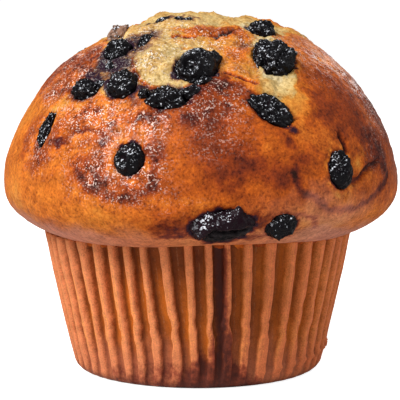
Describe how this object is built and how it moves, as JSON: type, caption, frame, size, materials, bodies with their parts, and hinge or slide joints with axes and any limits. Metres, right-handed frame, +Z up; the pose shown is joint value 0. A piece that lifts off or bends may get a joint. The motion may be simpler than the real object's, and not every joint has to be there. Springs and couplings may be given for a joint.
{
  "type": "blueberry muffin in a paper case",
  "caption": "Domed blueberry muffin with a mushroom cap that overhangs its pleated brown paper case, with whole blueberries set in the crust.",
  "frame": {"origin": "middle of the paper case's flat base, where the muffin rests", "axes": "+Z up through the top of the cap, -Y towards the side with the burst berry at the rim, +X to that view's right"},
  "size_m": [0.0873, 0.0892, 0.0784],
  "materials": {
    "crust": "baked crust, from golden to dark brown, glossy where juice and sugar glazed it",
    "paper": "matte greaseproof paper, soaked brown between the pleats",
    "berry": "dark blue-black berry skin, wet in places"
  },
  "bodies": {
    "root": {"berry_back_1": "berry", "berry_back_2": "berry", "berry_back_3": "berry", "berry_back_4": "berry", "berry_back_5": "berry", "berry_back_6": "berry", "berry_back_7": "berry", "berry_back_8": "berry", "berry_bleeding": "berry", "berry_burst": "berry", "berry_crater": "berry", "berry_crowned": "berry", "berry_left": "berry", "berry_right": "berry", "berry_round": "berry", "berry_skyline": "berry", "berry_slot": "berry", "berry_small": "berry", "berry_sunken": "berry", "berry_upper": "berry", "berry_veiled": "berry", "berry_wedge": "berry", "berry_wrinkled": "berry", "crumb": "crust", "paper_case": "paper"}
  },
  "joints": []
}
